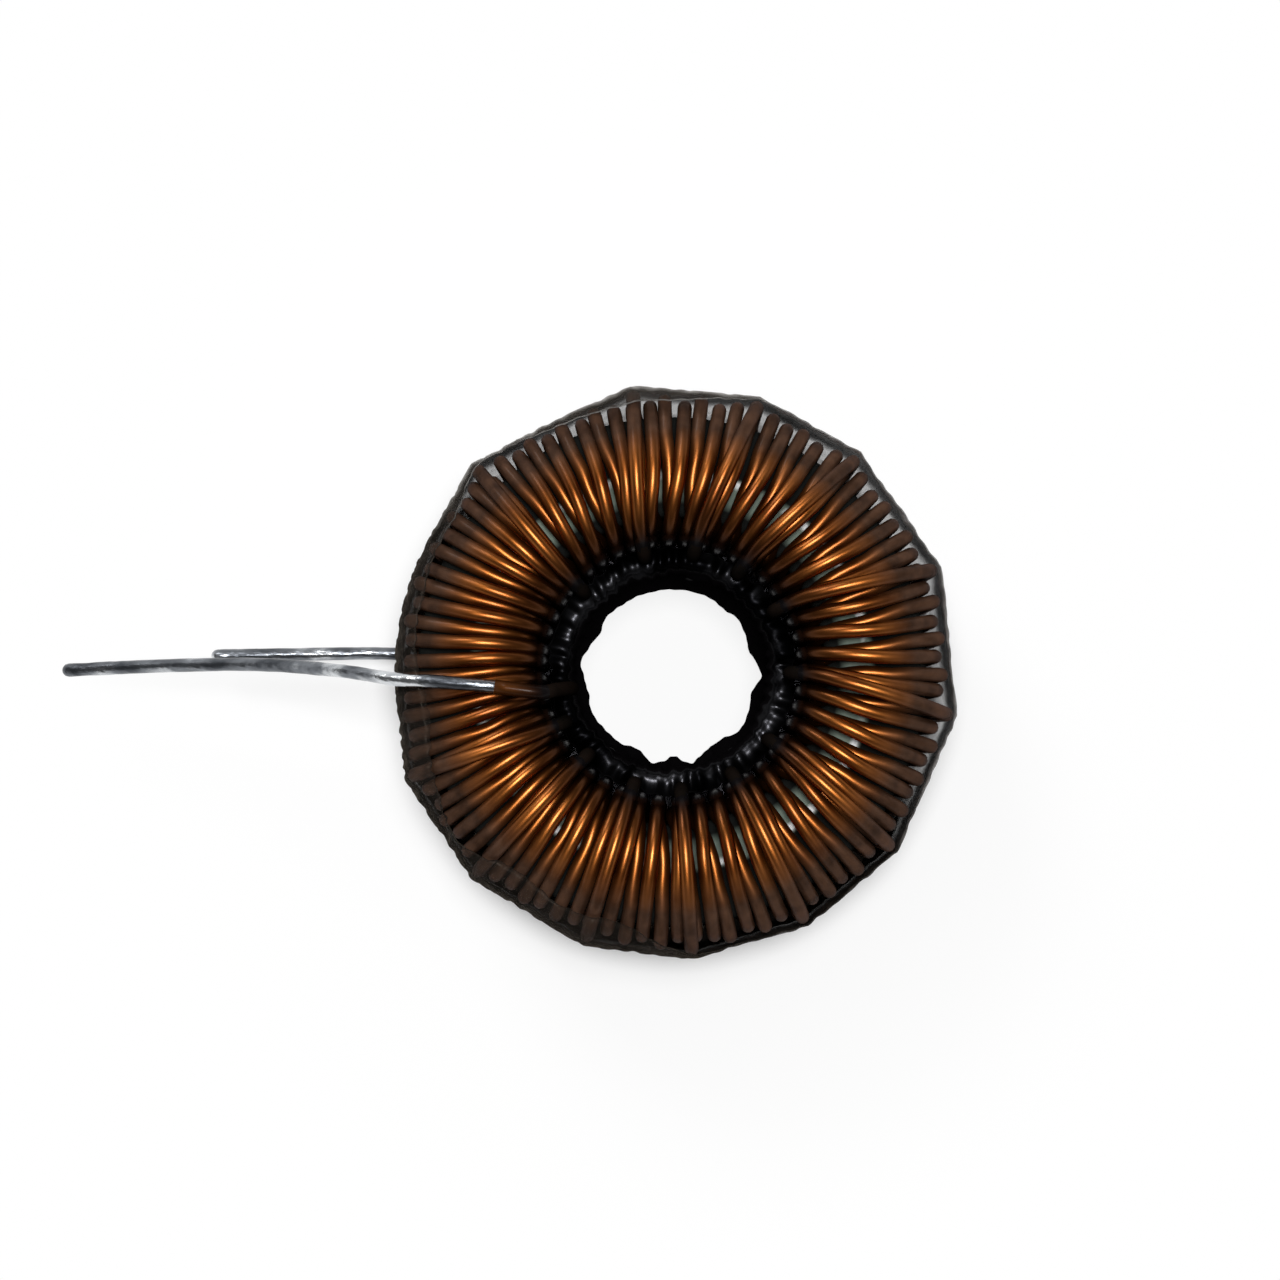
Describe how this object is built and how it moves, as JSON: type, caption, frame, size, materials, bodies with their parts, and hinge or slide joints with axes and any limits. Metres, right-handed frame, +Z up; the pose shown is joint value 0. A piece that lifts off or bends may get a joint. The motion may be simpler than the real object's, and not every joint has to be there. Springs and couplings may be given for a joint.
{
  "type": "toroidal inductor",
  "caption": "Ring core wound with enamelled copper wire, wrapped in smoke-grey shrink film, with two tinned wire leads.",
  "frame": {"origin": "where the ring's axis meets the surface that the part lies on, so the underside is at z = 0", "axes": "+Z up along the ring's axis, and both leads leave along -X"},
  "size_m": [0.0723, 0.0448, 0.0222],
  "materials": {
    "core_coating": "glossy epoxy coating",
    "enamelled_copper": "clear amber enamel over copper",
    "tinned_wire": "uneven solder tinning",
    "smoke_film": "thin, translucent and wrinkled"
  },
  "bodies": {
    "root": {"core": "core_coating", "winding": "enamelled_copper", "start_lead": "tinned_wire", "finish_lead": "tinned_wire", "shrink_film": "smoke_film"}
  },
  "joints": []
}
